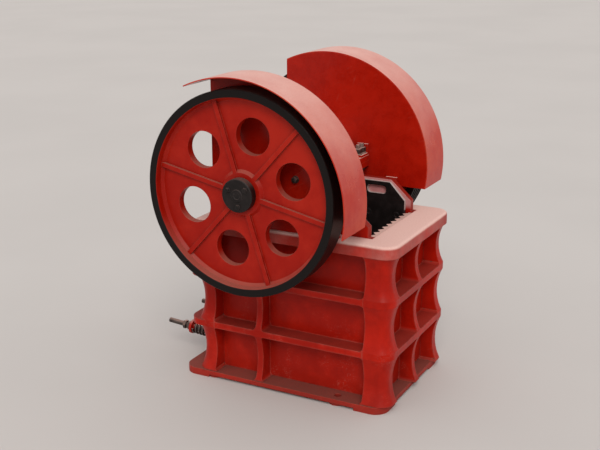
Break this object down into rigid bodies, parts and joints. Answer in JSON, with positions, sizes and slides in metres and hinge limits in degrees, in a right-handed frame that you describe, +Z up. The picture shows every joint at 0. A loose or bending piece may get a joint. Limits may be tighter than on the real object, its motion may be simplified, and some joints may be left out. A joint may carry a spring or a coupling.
{
  "type": "jaw crusher",
  "caption": "Small jaw crusher: ribbed box frame, corrugated jaws, eccentric shaft with a holed flywheel and a grooved belt pulley under curved guards.",
  "frame": {"origin": "on the floor, in the middle of the four anchor holes of the base flange", "axes": "+Z up; the feed end with the fixed jaw faces -Y; the flywheel is on -X and the belt pulley on +X"},
  "size_m": [0.752, 0.8536, 0.986],
  "materials": {
    "red_paint": "glossy red enamel, dusty on level faces",
    "deck_paint": "red enamel under thick pale dust",
    "guard_paint": "glossy red enamel on rolled sheet",
    "black_steel": "black paint over cast steel",
    "jaw_steel": "raw cast manganese steel",
    "machined_steel": "turned steel, oiled"
  },
  "bodies": {
    "frame": {"base_flange": "red_paint", "front_wall": "red_paint", "left_wall": "red_paint", "right_wall": "red_paint", "rear_wall": "red_paint", "front_left_post": "red_paint", "front_right_post": "red_paint", "rear_left_post": "red_paint", "rear_right_post": "red_paint", "deck_plate": "deck_paint", "fixed_jaw_plate": "jaw_steel", "left_liner": "black_steel", "right_liner": "black_steel", "left_bearing_base": "red_paint", "right_bearing_base": "red_paint", "left_bearing_cap": "red_paint", "right_bearing_cap": "red_paint", "left_bearing": "machined_steel", "right_bearing": "machined_steel", "toggle_block": "red_paint", "toggle_plate": "jaw_steel", "tension_rods": "black_steel", "rod_eyes": "black_steel", "tension_springs": "machined_steel", "left_guard_plate": "guard_paint", "right_guard_plate": "guard_paint", "left_guard_band": "guard_paint", "right_guard_band": "guard_paint", "left_guard_bracket": "machined_steel", "right_guard_bracket": "machined_steel"},
    "shaft": {"eccentric_shaft": "machined_steel", "flywheel": "red_paint", "belt_pulley": "red_paint", "flywheel_cap": "black_steel", "pulley_cap": "black_steel"},
    "swing_jaw": {"swing_jaw": "red_paint", "rod_lugs": "red_paint", "barrel_rings": "black_steel", "moving_jaw_plate": "jaw_steel", "jaw_clamp": "jaw_steel", "lifting_eye": "red_paint"}
  },
  "joints": [
    {"name": "shaft_spin", "type": "hinge", "parent": "frame", "child": "shaft", "pos_m": [0, 0.037, 0.647], "axis": [1, 0, 0], "continuous": true},
    {"name": "jaw_orbit", "type": "hinge", "parent": "shaft", "child": "swing_jaw", "pos_m": [0, 0.037, 0.653], "axis": [1, 0, 0], "continuous": true}
  ],
  "couplings": [
    {"joint": "jaw_orbit", "follows": "shaft_spin", "ratio": -1}
  ]
}
